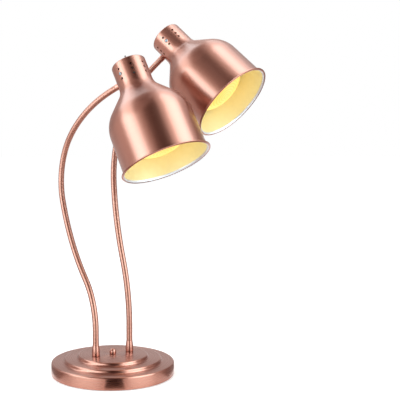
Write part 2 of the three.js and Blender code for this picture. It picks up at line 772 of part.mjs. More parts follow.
// The reflector bulb, measured back from its face: dome, reflector cone, neck, cap and contact
function buildBulb(side, head) {
  const capMouth = bulbBack + pipLength + capLength;
  const neckEnd = capMouth + bulbShoulder;
  const bulbDome = (bulbFace - neckEnd) * bulbDomeShare;
  const bulbCone = (bulbFace - neckEnd) * bulbConeShare;
  const widest = bulbFace - bulbDome;
  const coneEnd = widest - bulbCone;
  const bulbFlare = { hollowShare: bulbHollowShare, turnShare: bulbTurnShare };
  const spigotRadius = acrossFlats(capRadius - capWall, bulbSides) - holeGap;
  const dome = (inset, steps) => Array.from({ length: steps }, (_, i) => {
    const angle = radians(90 * (i + 1) / steps);
    return [(bulbRadius - inset) * Math.cos(angle), widest + (bulbDome - inset) * Math.sin(angle)];
  }).map(([r, z], i) => (i === steps - 1 ? [0, z] : [r, z]));
  const skin = (inset, steps) => [
    [bulbNeckRadius - inset, neckEnd + inset / 2],
    ...flare(bulbNeckRadius, bulbRadius, coneEnd, bulbCone, bulbFlare, inset, 2),
    ...dome(inset, steps),
  ];
  piece(`${side}_bulb_glass`, revolve([
    ...skin(bulbWall, 4).reverse(),
    [spigotRadius - bulbWall, capMouth + seatGap + bulbWall / 2],
    [spigotRadius - bulbWall, capMouth - bulbSpigot],
    [spigotRadius, capMouth - bulbSpigot],
    [spigotRadius, capMouth + seatGap],
    ...skin(0, 4),
  ], bulbSides), frostedGlass, head);

  const capEnd = bulbBack + pipLength;
  const capInside = capRadius - capWall;
  const capHole = pipRadius + holeGap;
  piece(`${side}_bulb_cap`, revolve([
    [capInside, capMouth],
    [capRadius, capMouth],
    [capRadius, capEnd + capTaper],
    [capHole + capWall, capEnd],
    [capHole, capEnd],
    [capInside, capEnd + capTaper],
  ], bulbSides), brass, head);

  piece(`${side}_bulb_pip`, revolve([
    [0, bulbBack],
    [pipRadius / 2, bulbBack],
    [pipRadius, capEnd - seatGap],
    [pipRadius, capEnd + pipLength],
    [0, capEnd + pipLength],
  ], smallSides), darkIron, head);
}

function buildHead(side, arm, tilt, heading) {
  const beam = directionOf(180 - tilt, heading);
  const inwards = arm.direction;
  const down = beam.clone().addScaledVector(inwards, -beam.dot(inwards)).normalize();
  const outwards = inwards.clone().negate();
  const sideways = new THREE.Vector3().crossVectors(down, outwards);
  const head = new THREE.Group();
  head.quaternion.setFromRotationMatrix(new THREE.Matrix4().makeBasis(outwards, sideways, down));
  head.position.copy(arm.place)
    .addScaledVector(inwards, neckRadius)
    .addScaledVector(down, -armEntryDepth);
  lamp.add(head);
  buildShade(side, head);
  buildUpperFitting(side, head);
  buildBracket(side, head);
  buildLampholder(side, head);
  buildBulb(side, head);
}

buildCover();
buildBaseStack();
buildTieBolt();
buildInlet();
buildTerminalBlock();
buildFerrule('front');
buildFerrule('rear');
const frontArm = buildGooseneck('front', frontArmStretches);
const rearArm = buildGooseneck('rear', rearArmStretches);
buildHead('front', frontArm, frontShadeTilt, frontShadeHeading);
buildHead('rear', rearArm, rearShadeTilt, rearShadeHeading);

export default lamp;
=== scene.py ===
# %% [markdown]
# # A food heat lamp, dressed in Blender
#
# The lamp is a stepped round base with two bendable goosenecks, and each gooseneck carries a spun
# bell-shaped shade round a reflector bulb. The sizes and places of every piece are already fixed by
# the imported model, which is loaded first. This script gives those pieces their real surfaces.

# %% Load the fixed frame
import json
from math import asin, atan2, cos, degrees, hypot, pi, radians, sin

import bmesh
import bpy
from mathutils import Matrix, Vector


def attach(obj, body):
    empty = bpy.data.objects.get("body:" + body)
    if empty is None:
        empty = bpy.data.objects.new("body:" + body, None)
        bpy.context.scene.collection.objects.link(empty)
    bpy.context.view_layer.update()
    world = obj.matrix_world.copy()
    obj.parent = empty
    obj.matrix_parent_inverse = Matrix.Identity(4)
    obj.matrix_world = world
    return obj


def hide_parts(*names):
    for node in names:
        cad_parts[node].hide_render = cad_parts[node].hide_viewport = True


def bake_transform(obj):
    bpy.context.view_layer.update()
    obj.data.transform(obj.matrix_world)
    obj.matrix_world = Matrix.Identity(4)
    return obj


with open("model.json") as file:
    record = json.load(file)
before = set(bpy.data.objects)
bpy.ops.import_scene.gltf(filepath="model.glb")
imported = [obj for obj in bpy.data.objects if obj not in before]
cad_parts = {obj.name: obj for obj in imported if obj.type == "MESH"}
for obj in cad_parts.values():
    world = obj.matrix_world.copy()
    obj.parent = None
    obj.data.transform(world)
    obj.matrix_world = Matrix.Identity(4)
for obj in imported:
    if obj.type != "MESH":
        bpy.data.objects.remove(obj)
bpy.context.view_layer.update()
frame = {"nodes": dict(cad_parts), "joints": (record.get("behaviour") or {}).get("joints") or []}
MM = 0.001

# %% [markdown]
# ## Camera
#
# The photograph looks a little down on the lamp from about a metre and a half. The frame was cut
# from a wider picture, so the lens is shifted sideways by an eighth of the frame instead of turned.

# %% Camera
CAMERA_PLACE = Vector((71.5, -1496.5, 435.2)) * MM
CAMERA_PITCH = radians(3.894)  # below the horizon
SENSOR = 36.0
FOCAL_LENGTH = 71.05
SHIFT_SHARE = 0.125  # of the frame's width

camera_data = bpy.data.cameras.new("camera")
camera_data.sensor_width = SENSOR
camera_data.lens = FOCAL_LENGTH
camera_data.shift_x = SHIFT_SHARE
camera = bpy.data.objects.new("camera", camera_data)
camera.location = CAMERA_PLACE
camera.rotation_euler = (pi / 2 - CAMERA_PITCH, 0, 0)
bpy.context.scene.collection.objects.link(camera)
bpy.context.scene.camera = camera

# %% [markdown]
# ## Small helpers
#
# One function turns a written colour into linear light, and one adds a node with its settings and
# links, so that each material below reads as a short list of what it is made of.

# %% Colour, node and object helpers


def srgb(code):
    """A hex colour as linear RGBA."""
    parts = [int(code[i:i + 2], 16) / 255 for i in (1, 3, 5)]
    return [c / 12.92 if c <= 0.04045 else ((c + 0.055) / 1.055) ** 2.4 for c in parts] + [1.0]


def toned(colour, factor):
    """A linear colour made lighter or darker."""
    return [min(1.0, c * factor) for c in colour[:3]] + [1.0]


def fill_socket(tree, socket, value):
    """Writes a number or colour in a socket, or links it to a node's output. A node by itself
    stands for its first output that is in use."""
    if isinstance(value, bpy.types.Node):
        value = next(output for output in value.outputs if output.enabled)
    if isinstance(value, bpy.types.NodeSocket):
        tree.links.new(value, socket)
    else:
        socket.default_value = value


def add_node(tree, kind, *inputs, **settings):
    """Adds a node. Settings name a property or a socket, and `inputs` fill the sockets that are
    then in use, in their order."""
    node = tree.nodes.new(kind)
    for name, value in settings.items():
        if hasattr(node, name):
            setattr(node, name, value)
        else:
            fill_socket(tree, node.inputs[name.replace("_", " ")], value)
    used = [socket for socket in node.inputs if socket.enabled]
    for socket, value in zip(used, inputs):
        fill_socket(tree, socket, value)
    return node


def new_material(name):
    material = bpy.data.materials.new(name)
    material.use_nodes = True
    material.node_tree.nodes.clear()
    return material, material.node_tree


def add_object(name, data):
    """A new object, linked into the scene."""
    obj = bpy.data.objects.new(name, data)
    bpy.context.scene.collection.objects.link(obj)
    return obj

# %% [markdown]
# ## Turned copper
#
# Base, shades and fittings are copper-plated and then brushed while they spin, so the brush lines
# run round the axis. Such lines spread a highlight across themselves, along the profile, which is
# what draws the long bright and dark bands down a shade. The lines follow the surface, so the
# pattern reads each piece's own UV map: U runs round the axis and V along the profile in metres.

# %% Turned copper
TURNED_UV = "turned"
BRUSH_LINE = 1.1 * MM  # real lines are about 0.1 mm: drawn coarser, so that they show
PATCHES_ROUND = 5.0  # how often the lines change in one turn
BETWEEN_LINES = 0.86  # how dark the copper is in a line
LINE_DEPTH = 0.05 * MM
SMOOTHER, ROUGHER = 0.04, 0.05  # how far the lines change the roughness
PATINA_SCALE = 18.0  # patches of about 55 mm
PATINA_TINT = (0.95, 0.93, 0.92, 1.0)
ACROSS_LINES = 0.25  # of a turn, from a line to the way in which it spreads a highlight
LACQUER, LACQUER_ROUGHNESS = 0.6, 0.22  # the clear coat that keeps copper from browning


def turned_copper(name, tint, roughness, brushing, line_strength):
    """Copper plate brushed round the axis. `brushing` is how far the highlight is drawn out."""
    material, tree = new_material(name)
    uv = add_node(tree, "ShaderNodeUVMap", uv_map=TURNED_UV)
    lines = add_node(tree, "ShaderNodeMapping", uv, Scale=(PATCHES_ROUND, 1 / BRUSH_LINE, 1.0))
    noise = add_node(tree, "ShaderNodeTexNoise", lines, Scale=1.0, Detail=3.0, Roughness=0.6)
    place = add_node(tree, "ShaderNodeTexCoord")
    patina = add_node(tree, "ShaderNodeTexNoise", place.outputs["Object"],
                      Scale=PATINA_SCALE, Detail=2.0, Roughness=0.5)
    streaked = add_node(tree, "ShaderNodeMix", noise, srgb(tint),
                        toned(srgb(tint), BETWEEN_LINES), data_type="RGBA")
    worn = add_node(tree, "ShaderNodeMix", patina, streaked, PATINA_TINT,
                    data_type="RGBA", blend_type="MULTIPLY")
    rough = add_node(tree, "ShaderNodeMapRange", noise,
                     To_Min=roughness - SMOOTHER, To_Max=roughness + ROUGHER)
    relief = add_node(tree, "ShaderNodeBump", Height=noise, Strength=line_strength,
                      Distance=LINE_DEPTH)
    tangent = add_node(tree, "ShaderNodeTangent", direction_type="UV_MAP", uv_map=TURNED_UV)
    shader = add_node(tree, "ShaderNodeBsdfPrincipled", Base_Color=worn, Metallic=1.0,
                      Roughness=rough, Normal=relief, Tangent=tangent, Anisotropic=brushing,
                      Anisotropic_Rotation=ACROSS_LINES, Coat_Weight=LACQUER,
                      Coat_Roughness=LACQUER_ROUGHNESS)
    add_node(tree, "ShaderNodeOutputMaterial", shader)
    return material


# Spun aluminium under copper: satin, with soft-edged bands down the shade
shade_copper = turned_copper("copper_plated_spun_aluminium_brushed", "#b67764", 0.34, 0.7, 0.25)
# Steel polishes further: the same pink copper, with crisper patches on the base's wall
base_copper = turned_copper("copper_plated_steel_brushed", "#b67764", 0.27, 0.88, 0.25)
# Small brass turnings: a little warmer, with narrow bright lines
fitting_copper = turned_copper("copper_plated_brass_turned", "#ba7966", 0.3, 0.4, 0.1)

# %% [markdown]
# ## The other finishes
#
# The rest are plain trade finishes. Each keeps its usual roughness and gets a little of the
# unevenness that its making leaves, at the real scale of that process. Four of them carry painted
# light besides: the lining's yellow is a painted glow, and the dark of the neck's inside, the vent
# walls and the bracket is painted shade.

# %% Other finishes
ROUGHNESS_SPREAD = 0.06  # to each side of a finish's usual roughness
SMOOTHEST = 0.02
GRAIN_STRENGTH = 0.3


def plain_finish(name, colour, metallic, roughness, grain, grain_depth, variation=0.1):
    """A finish whose colour, roughness and relief vary with one noise of `grain` millimetres."""
    material, tree = new_material(name)
    place = add_node(tree, "ShaderNodeTexCoord")
    noise = add_node(tree, "ShaderNodeTexNoise", place.outputs["Object"],
                     Scale=1 / (grain * MM), Detail=3.0, Roughness=0.55)
    tone = add_node(tree, "ShaderNodeMix", noise, toned(srgb(colour), 1 + variation),
                    toned(srgb(colour), 1 - variation), data_type="RGBA")
    rough = add_node(tree, "ShaderNodeMapRange", noise,
                     To_Min=max(SMOOTHEST, roughness - ROUGHNESS_SPREAD),
                     To_Max=roughness + ROUGHNESS_SPREAD)
    relief = add_node(tree, "ShaderNodeBump", Height=noise, Strength=GRAIN_STRENGTH,
                      Distance=grain_depth * MM)
    shader = add_node(tree, "ShaderNodeBsdfPrincipled", Base_Color=tone, Metallic=metallic,
                      Roughness=rough, Normal=relief)
    add_node(tree, "ShaderNodeOutputMaterial", shader)
    return material


# A wound strip keeps its mill finish: a small glint on every rib
hose_copper = plain_finish("copper_plated_steel_hose_wound", "#b37b6a", 1.0, 0.3, 3.0, 0.003)
# Screws and stud: cool silver specks against the copper
zinc = plain_finish("zinc_plated_steel_bright", "#a9a9ac", 1.0, 0.34, 1.5, 0.01)
# The weight: dull and dark, with the skin of the sand mould
iron = plain_finish("cast_iron_painted", "#3a3a3c", 0.0, 0.65, 1.0, 0.2)
# Pad and grommet: matt black that takes no highlight
rubber = plain_finish("nitrile_rubber_moulded", "#1b1b1c", 0.0, 0.8, 0.6, 0.05)
# The terminal block: ivory plastic with a soft sheen
polyamide = plain_finish("polyamide_moulded", "#e2ded2", 0.0, 0.5, 0.8, 0.02, 0.03)
# Nuts, caps and contacts: yellow metal, bright where it was rolled
brass = plain_finish("brass_strip_rolled", "#c9a55c", 1.0, 0.25, 2.0, 0.01)
# The lampholder: wet-looking white glaze with slow waves in it
porcelain = plain_finish("porcelain_glazed", "#f1eee6", 0.0, 0.12, 4.0, 0.02, 0.02)
# The button round a bulb's contact: black glass, nearly a mirror
vitrite = plain_finish("black_glass_insulator_fused", "#101012", 0.0, 0.1, 1.0, 0.01)
# The lip's inner side: pale satin, which draws a thin white ring round the light
aluminium = plain_finish("aluminium_spun_satin", "#e4e2e4", 1.0, 0.5, 2.5, 0.01, 0.03)
# The lining: pale straw yellow, a painted glow that stands in for the bulb's light inside the shade
lining_painted_glow = plain_finish("aluminium_spun_painted_bulb_glow", "#f4eec4", 0.5, 0.5, 8.0, 0.01, 0.05)
# The neck's inside: painted near black, a painted shade so that the vents look black
neck_inside_painted_shade = plain_finish("aluminium_spun_painted_shade", "#1d1815", 0.0, 0.8, 2.5, 0.01)
# The holder's bracket: dark grey passivated steel, kept dark as painted shade behind the vents
bracket_painted_shade = plain_finish("zinc_plated_steel_dark_painted_shade", "#3a393b", 0.6, 0.5, 1.5, 0.01)
# The walls of the vents: painted near black, a painted shade that darkens a rim round each hole
vent_wall_painted_shade = plain_finish("copper_plate_drilled_hole_painted_shade", "#2a1812", 0.0, 0.7, 1.0, 0.01)
# The bulb's sides: silvered on the inside, soft like aluminium behind glass
silvered = plain_finish("glass_silvered_inside", "#d8d6cf", 1.0, 0.2, 5.0, 0.01, 0.04)

# %% [markdown]
# ## Lit reflector glass
#
# The bulb's face is frosted and lit from behind, so it glows an even warm yellow. The frosting has
# faint moulded rings, which read the face's own map: V is the distance along the profile.

# %% Bulb glass
RING_PITCH = 6.0 * MM
RING_STRENGTH, RING_DEPTH = 0.4, 0.3 * MM
GLOW_BETWEEN_RINGS = (1.2, 0.72, 0.12, 1.0)  # the red goes past what the picture can hold
GLOW_ON_RINGS = (1.3, 0.82, 0.19, 1.0)


def lit_glass():
    """Frosted glass with a lit filament behind it: flat, bright and yellow, with faint rings."""
    material, tree = new_material("borosilicate_glass_frosted_lit")
    uv = add_node(tree, "ShaderNodeUVMap", uv_map=TURNED_UV)
    along = add_node(tree, "ShaderNodeSeparateXYZ", uv).outputs["Y"]
    turns = add_node(tree, "ShaderNodeMath", along, 2 * pi / RING_PITCH, operation="MULTIPLY")
    wave = add_node(tree, "ShaderNodeMath", turns, operation="SINE")
    ring = add_node(tree, "ShaderNodeMapRange", wave, From_Min=-1.0)
    glow = add_node(tree, "ShaderNodeMix", ring, GLOW_BETWEEN_RINGS, GLOW_ON_RINGS,
                    data_type="RGBA")
    relief = add_node(tree, "ShaderNodeBump", Height=wave, Strength=RING_STRENGTH,
                      Distance=RING_DEPTH)
    shader = add_node(tree, "ShaderNodeBsdfPrincipled", Roughness=0.35, Normal=relief,
                      Base_Color=srgb("#3c392c"),  # dark: its own light outshines what falls on it
                      Emission_Color=glow, Emission_Strength=1.0)
    add_node(tree, "ShaderNodeOutputMaterial", shader)
    return material


lit_face = lit_glass()

# %% [markdown]
# ## Turned pieces
#
# Nearly everything on this lamp was turned, spun or blown, so it is a profile that goes once round
# an axis. A profile lists radius and height in millimetres, with its curves as arcs.

# %% Profiles and turning
TINY = 1e-6  # less than any length in metres or angle in radians here


def arc(centre, radius, start, end, steps):
    """Points on an arc between two angles in degrees."""
    angles = [radians(start + (end - start) * i / steps) for i in range(steps + 1)]
    return [(centre[0] + radius * cos(a), centre[1] + radius * sin(a)) for a in angles]


def finished_mesh(bm, name):
    mesh = bpy.data.meshes.new(name)
    bm.to_mesh(mesh)
    bm.free()
    return mesh


def flare(narrow, wide, start, length, hollow_share, turn_share, inset, steps):
    """A smooth S from a narrow radius to a wide one: a hollow arc, a straight cone, a round arc."""
    rise = wide - narrow
    turn = atan2(rise, length) * (1 + turn_share)
    total = (length * sin(turn) - rise * cos(turn)) / (1 - cos(turn))
    hollow = total * hollow_share
    rounded = total - hollow
    swing = degrees(turn)
    return (arc((narrow + hollow, start), hollow + inset, 180, 180 - swing, steps)
            + arc((wide - rounded, start + length), rounded - inset, -swing, 0, steps))


def turn_profile(profile, segments, closed=True, slot_starts=()):
    """Turns a profile round Z. A closed one comes back to its first point, and an open one runs
    from the axis to the axis. At each profile point in `slot_starts` the next material begins."""
    bm = bmesh.new()
    uv_layer = bm.loops.layers.uv.new(TURNED_UV)
    points = [(r * MM, z * MM) for r, z in profile]
    if closed:
        points.append(points[0])
    lengths = [0.0]
    for (r0, z0), (r1, z1) in zip(points, points[1:]):
        lengths.append(lengths[-1] + hypot(r1 - r0, z1 - z0))
    rings = []
    for r, z in points[:-1] if closed else points:
        count = 1 if r < TINY else segments
        angles = [2 * pi * k / segments for k in range(count)]
        rings.append([bm.verts.new((r * cos(a), r * sin(a), z)) for a in angles])
    if closed:
        rings.append(rings[0])
    for i in range(len(points) - 1):
        if len(rings[i]) == len(rings[i + 1]) == 1:
            continue
        for k in range(segments):
            verts, uvs = [], []
            for row, column in ((i, k), (i, k + 1), (i + 1, k + 1), (i + 1, k)):
                vert = rings[row][column % len(rings[row])]
                if vert not in verts:
                    verts.append(vert)
                    uvs.append((column / segments, lengths[row]))
            face = bm.faces.new(verts)
            face.smooth = True
            face.material_index = sum(i >= start for start in slot_starts)
            for loop, uv in zip(face.loops, uvs):
                loop[uv_layer].uv = uv
    area = sum((r0 * z1 - r1 * z0) for (r0, z0), (r1, z1) in zip(points, points[1:] + points[:1]))
    if area < 0:
        bmesh.ops.reverse_faces(bm, faces=bm.faces)
    return finished_mesh(bm, "turned")


def piece(name, mesh, body, replaced=(), materials=(), place=None, sharp=32):
    """Names a finished mesh, puts it in its place and makes it ride on its body. Where two faces
    meet at more than `sharp` degrees, the edge between them isn't smoothed."""
    mesh = mesh.copy()
    mesh.name = name
    if place is not None:
        mesh.transform(place)
    if materials:
        used = [face.material_index for face in mesh.polygons]
        mesh.materials.clear()
        for material in materials:
            mesh.materials.append(material)
        mesh.polygons.foreach_set("material_index", used)
    mesh.set_sharp_from_angle(angle=radians(sharp))
    obj = add_object(name, mesh)
    if body:
        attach(obj, body)
    if replaced:
        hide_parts(*replaced)
    return obj


# %% [markdown]
# ## Where everything stands
#
# The two goosenecks are chains of arcs. Each arc starts in the direction in which the last one
# ended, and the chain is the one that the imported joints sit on, which the last line checks.

# %% Gooseneck routes
PLATEAU = 37.0
ARM_SPACING = 72.8
ARM_LINE_HEADING = radians(30.4)
STRAIGHT_END = 12.0
COLLAR_LENGTH = 9.0
NECK_RADIUS = 33.5
ARM_ENTRY_DEPTH = 30.0
ARM_STRETCHES = {  # length in mm, lean from the vertical and heading in degrees, at each arc's end
    "front": [(47, 0, 0), (105.8, 48.7, 120.8), (187.2, 25.6, 115.6), (134.9, 41.2, -53),
              (166.7, 63.1, -28.1)],
    "rear": [(50, 0, 0), (130.4, 19.5, 125.9), (153.9, 22.2, 98.7), (151.8, 27.1, 49.9),
             (150.1, 45.2, -6.2)],
}
SIDES = {"front": -1, "rear": 1}


def direction_of(lean, heading):
    lean, heading = radians(lean), radians(heading)
    return Vector((sin(lean) * cos(heading), sin(lean) * sin(heading), cos(lean)))


def arc_route(start, direction, end_direction, length, step):
    """Points along an arc between two directions, and the arc's last point."""
    bend = direction.angle(end_direction)
    count = max(2, round(length / step))
    if bend < TINY:
        return [start + direction * length * i / count for i in range(1, count + 1)]
    inward = (end_direction - direction * cos(bend)) / sin(bend)
    radius = length / bend
    return [start + radius * (sin(bend * i / count) * direction
                              + (1 - cos(bend * i / count)) * inward)
            for i in range(1, count + 1)]


def arm_route(side, step=1.0):
    """One gooseneck's centreline in mm: its points, its stations, and its last direction."""
    along = SIDES[side] * ARM_SPACING / 2
    point = Vector((along * cos(ARM_LINE_HEADING), along * sin(ARM_LINE_HEADING), PLATEAU))
    direction = Vector((0, 0, 1))
    points, stations = [point], [0]
    for index, (length, lean, heading) in enumerate(ARM_STRETCHES[side]):
        end_direction = direction_of(lean, heading)
        last = index == len(ARM_STRETCHES[side]) - 1
        straight = STRAIGHT_END + COLLAR_LENGTH if last else 0
        points += arc_route(points[-1], direction, end_direction, length - straight, step)
        if last:
            points += arc_route(points[-1], end_direction, end_direction, straight, step)
        stations.append(len(points) - 1)
        direction = end_direction
    return points, stations, direction


ROUTES = {side: arm_route(side) for side in SIDES}
JOINTS = {joint["name"]: joint for joint in frame["joints"]}
for side, (points, stations, _) in ROUTES.items():
    for number in range(1, 5):
        there = Vector(JOINTS[f"{side}_bend_{number}"]["pos_m"]) / MM
        miss = (there - points[stations[number]]).length
        print(side, "joint", number, "off the route by", round(miss, 2), "mm")

# %% [markdown]
# Each head has a frame of its own: its origin in the middle of the neck's flat top, Z towards the
# mouth of the shade and X towards the arm. The bulb's joint gives the axis.

# %% Head frames


def head_frame(side):
    points, _, inward = ROUTES[side]
    joint = JOINTS[f"{side}_bulb_unscrew"]
    down = Vector(joint["axis"]).normalized()
    outward = -inward
    sideways = down.cross(outward)
    origin = (points[-1] + inward * NECK_RADIUS - down * ARM_ENTRY_DEPTH) * MM
    matrix = Matrix((outward, sideways, down)).transposed().to_4x4()
    matrix.translation = origin
    return matrix


HEADS = {side: head_frame(side) for side in SIDES}
for side, matrix in HEADS.items():
    print(side, "neck top", [round(c / MM, 1) for c in matrix.translation])

# %% [markdown]
# ## Base
#
# The cover is one spun shell in three tiers, each step an S of two small arcs. It hides a cast-iron
# weight. The rings left by the brush run round it, so it is turned from its profile in fine steps.

# %% Base cover
COVER_RADIUS, COVER_WALL, COVER_LIFT = 117.8, 1.2, 1.2
LEDGE_TOP, RIM_ROUNDING = 24.2, 3.0
MIDDLE_RADIUS, MIDDLE_TOP = 93.5, 30.8
PLATEAU_RADIUS = 67.5
COVER_SEGMENTS, COVER_ARC_STEPS = 160, 8


def cover_profile(inset):
    def rounding(radius):
        return max(radius - inset, COVER_WALL / 4)

    def step(radius, low, high):
        bend = (high - low) / 2
        return (arc((radius + bend, low + bend), bend + inset, 270, 180, COVER_ARC_STEPS)
                + arc((radius - bend, high - bend), rounding(bend), 0, 90, COVER_ARC_STEPS)[1:])

    return ([(COVER_RADIUS - inset, COVER_LIFT)]
            + arc((COVER_RADIUS - RIM_ROUNDING, LEDGE_TOP - RIM_ROUNDING), rounding(RIM_ROUNDING),
                  0, 90, COVER_ARC_STEPS)
            + step(MIDDLE_RADIUS, LEDGE_TOP, MIDDLE_TOP)
            + step(PLATEAU_RADIUS, MIDDLE_TOP, PLATEAU)
            + [(0.0, PLATEAU - inset)])


cover_mesh = turn_profile(cover_profile(0) + cover_profile(COVER_WALL)[::-1], COVER_SEGMENTS)
piece("base_cover_spun", cover_mesh, "base", ["base_cover"], [base_copper])
print("base cover", len(cover_mesh.polygons), "faces")

# %% [markdown]
# ## Cap nut and ferrules
#
# A domed cap nut in the middle clamps the cover down. Each gooseneck comes out of a turned ferrule,
# straight at its foot and drawn in towards its top.

# %% Cap nut and ferrules
SEAT = 0.3  # between two pieces that rest on each other
FITTING_SEGMENTS, EDGE_STEPS = 48, 3
CAP_NUT_RADIUS, CAP_NUT_SKIRT, CAP_NUT_EDGE = 6.4, 4.0, 0.6
CAP_NUT_STEPS = 12
FERRULE_HEIGHT, FERRULE_FOOT_RADIUS, FERRULE_TIP_RADIUS, FERRULE_EDGE = 22.0, 7.5, 6.15, 0.5
FERRULE_TAPER = [(7.5, 9.3), (7.35, 10.8), (6.75, 17.15), (6.25, 19.5)]  # radius and height
SHANK_LENGTH, THREAD_RADIUS, WIRE_BORE, HOSE_RADIUS = 13.0, 5.0, 3.2, 6.0

nut_low = PLATEAU + SEAT
nut_dome = nut_low + CAP_NUT_SKIRT
cap_nut_mesh = turn_profile(
    [(0, nut_low), (CAP_NUT_RADIUS - CAP_NUT_EDGE, nut_low)]
    + arc((CAP_NUT_RADIUS - CAP_NUT_EDGE, nut_low + CAP_NUT_EDGE), CAP_NUT_EDGE, -90, 0, EDGE_STEPS)
    + arc((0, nut_dome), CAP_NUT_RADIUS, 0, 90, CAP_NUT_STEPS)[:-1]
    + [(0, nut_dome + CAP_NUT_RADIUS)], FITTING_SEGMENTS, closed=False)
piece("cap_nut_domed", cap_nut_mesh, "base", ["cap_nut"], [fitting_copper])

ferrule_mesh = turn_profile(
    [(WIRE_BORE, -SHANK_LENGTH), (THREAD_RADIUS, -SHANK_LENGTH), (THREAD_RADIUS, SEAT)]
    + arc((FERRULE_FOOT_RADIUS - FERRULE_EDGE, SEAT + FERRULE_EDGE), FERRULE_EDGE, -90, 0,
          EDGE_STEPS)
    + FERRULE_TAPER
    + arc((FERRULE_TIP_RADIUS - FERRULE_EDGE, FERRULE_HEIGHT - FERRULE_EDGE), FERRULE_EDGE, 0, 90,
          EDGE_STEPS)
    + [(WIRE_BORE, FERRULE_HEIGHT)], FITTING_SEGMENTS)
for side in SIDES:
    foot = Matrix.Translation(ROUTES[side][0][0] * MM)
    piece(f"{side}_ferrule_turned", ferrule_mesh, "base", [f"{side}_ferrule"],
          [fitting_copper], foot)

# %% [markdown]
# ## Goosenecks
#
# A gooseneck is a steel hose wound from a profiled strip, so its skin is one fine rib after
# another. Geometry Nodes makes it: the route is resampled finely, the radius follows a cosine of
# the length along it, and a circle is swept along the result. Each arm is cut into four lengths,
# from the middle of one stretch to the next one's, because a length may bend over one joint only.

# %% Gooseneck node tree
HOSE_SIZES = {"Rib pitch": 2.6 * MM, "Rib depth": 0.28 * MM, "Crest radius": HOSE_RADIUS * MM}
HOSE_SIDES, STEPS_PER_RIB = 24, 6


def geometry_tree(name, sizes):
    """A Geometry Nodes tree with its input and output nodes, and the identifiers of the sizes
    that a modifier sets."""
    tree = bpy.data.node_groups.new(name, "GeometryNodeTree")
    tree.interface.new_socket("Geometry", in_out="INPUT", socket_type="NodeSocketGeometry")
    identifiers = {}
    for label, size in sizes.items():
        socket = tree.interface.new_socket(label, in_out="INPUT", socket_type="NodeSocketFloat")
        socket.default_value = size
        identifiers[label] = socket.identifier
    tree.interface.new_socket("Geometry", in_out="OUTPUT", socket_type="NodeSocketGeometry")
    return tree, tree.nodes.new("NodeGroupInput"), tree.nodes.new("NodeGroupOutput"), identifiers


def ribbed_hose_tree():
    """Sweeps a circle along a curve, with a radius that dips between one rib and the next."""
    tree, source, result, identifiers = geometry_tree("ribbed_hose", HOSE_SIZES)
    pitch = source.outputs["Rib pitch"]
    step = add_node(tree, "ShaderNodeMath", pitch, STEPS_PER_RIB, operation="DIVIDE")
    fine = add_node(tree, "GeometryNodeResampleCurve", source, mode="LENGTH", Length=step)
    along = add_node(tree, "GeometryNodeSplineParameter").outputs["Length"]
    ribs = add_node(tree, "ShaderNodeMath", along, pitch, operation="DIVIDE")
    turns = add_node(tree, "ShaderNodeMath", ribs, 2 * pi, operation="MULTIPLY")
    wave = add_node(tree, "ShaderNodeMath", turns, operation="COSINE")
    # 0 on a crest and -1 in a root
    dip = add_node(tree, "ShaderNodeMath", wave, -0.5, -0.5, operation="MULTIPLY_ADD")
    radius = add_node(tree, "ShaderNodeMath", dip, source.outputs["Rib depth"],
                      source.outputs["Crest radius"], operation="MULTIPLY_ADD")
    circle = add_node(tree, "GeometryNodeCurvePrimitiveCircle", Resolution=HOSE_SIDES, Radius=1.0)
    swept = add_node(tree, "GeometryNodeCurveToMesh", fine, circle, Scale=radius, Fill_Caps=True)
    smooth = add_node(tree, "GeometryNodeSetShadeSmooth", swept)
    real = add_node(tree, "GeometryNodeRealizeInstances", smooth)
    skin = add_node(tree, "GeometryNodeSetMaterial", real, Material=hose_copper)
    fill_socket(tree, result.inputs["Geometry"], skin)
    return tree, identifiers


hose_tree, HOSE_INPUTS = ribbed_hose_tree()

# %% Make the goosenecks


def evaluated_mesh(obj, name):
    """The plain mesh that an object's modifiers make. The object itself is deleted."""
    depsgraph = bpy.context.evaluated_depsgraph_get()
    mesh = bpy.data.meshes.new_from_object(obj.evaluated_get(depsgraph), depsgraph=depsgraph)
    mesh.name = name
    bpy.data.objects.remove(obj)
    return mesh


def ribbed_hose(name, points):
    """A hose along points in mm, with a whole number of ribs."""
    curve = bpy.data.curves.new(name, "CURVE")
    curve.dimensions = "3D"
    spline = curve.splines.new("POLY")
    spline.points.add(len(points) - 1)
    for target, point in zip(spline.points, points):
        target.co = (*(point * MM), 1)
    obj = add_object(name, curve)
    length = sum((b - a).length for a, b in zip(points, points[1:])) * MM
    modifier = obj.modifiers.new("ribs", "NODES")
    modifier.node_group = hose_tree
    modifier[HOSE_INPUTS["Rib pitch"]] = length / round(length / HOSE_SIZES["Rib pitch"])
    return evaluated_mesh(obj, name)


HOSE_SHARP = 60
for side, (points, stations, _) in ROUTES.items():
    first = round(FERRULE_HEIGHT + SEAT)
    cuts = [first] + [(stations[i] + stations[i + 1]) // 2 for i in range(1, 4)]
    cuts.append(stations[5] - round(COLLAR_LENGTH))
    for number in range(1, 5):
        stretch = points[cuts[number - 1]:cuts[number] + 1]
        name = f"{side}_hose_{number}"
        mesh = ribbed_hose(name, stretch)
        hose = piece(name, mesh, None, sharp=HOSE_SHARP)
        replaced = {1: (1, 2), 2: (3,), 3: (4,), 4: (5,)}[number]
        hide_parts(*[f"{side}_gooseneck_{i}" for i in replaced])
        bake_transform(hose)
        print(name, len(mesh.polygons), "faces")
